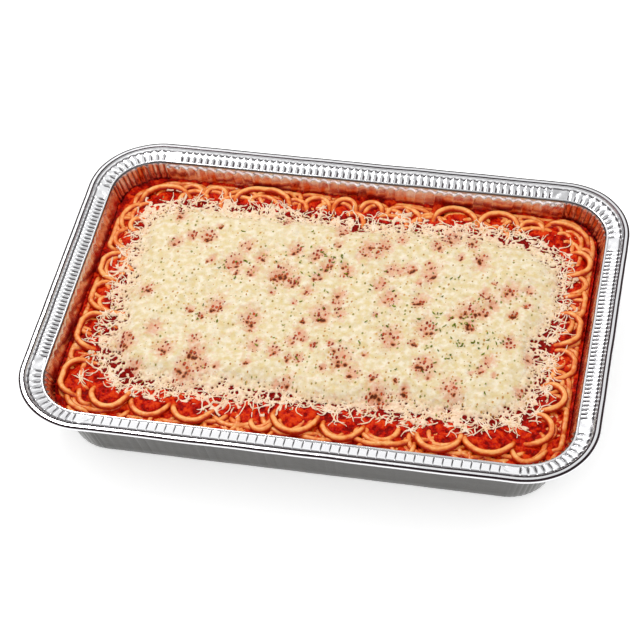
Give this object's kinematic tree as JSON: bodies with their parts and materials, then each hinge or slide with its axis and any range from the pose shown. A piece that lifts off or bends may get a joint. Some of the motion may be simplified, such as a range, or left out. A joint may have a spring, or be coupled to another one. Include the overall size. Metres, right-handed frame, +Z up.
{
  "type": "foil tray meal",
  "caption": "Oblong foil tray with a ribbed flange, filled with baked spaghetti in tomato sauce under a crust of melted cheese.",
  "frame": {"origin": "centre of the tray's flat underside", "axes": "+X along the tray's long side, +Y across it towards the back, +Z up"},
  "size_m": [0.33, 0.23, 0.046],
  "materials": {
    "foil": "bright pressed foil",
    "noodle": "moist, oily",
    "sauce": "wet, lumpy",
    "cheese": "melted and set, slightly oily"
  },
  "bodies": {
    "root": {"foil_tray": "foil", "spaghetti": "noodle", "tomato_sauce": "sauce", "melted_cheese": "cheese"}
  },
  "joints": []
}
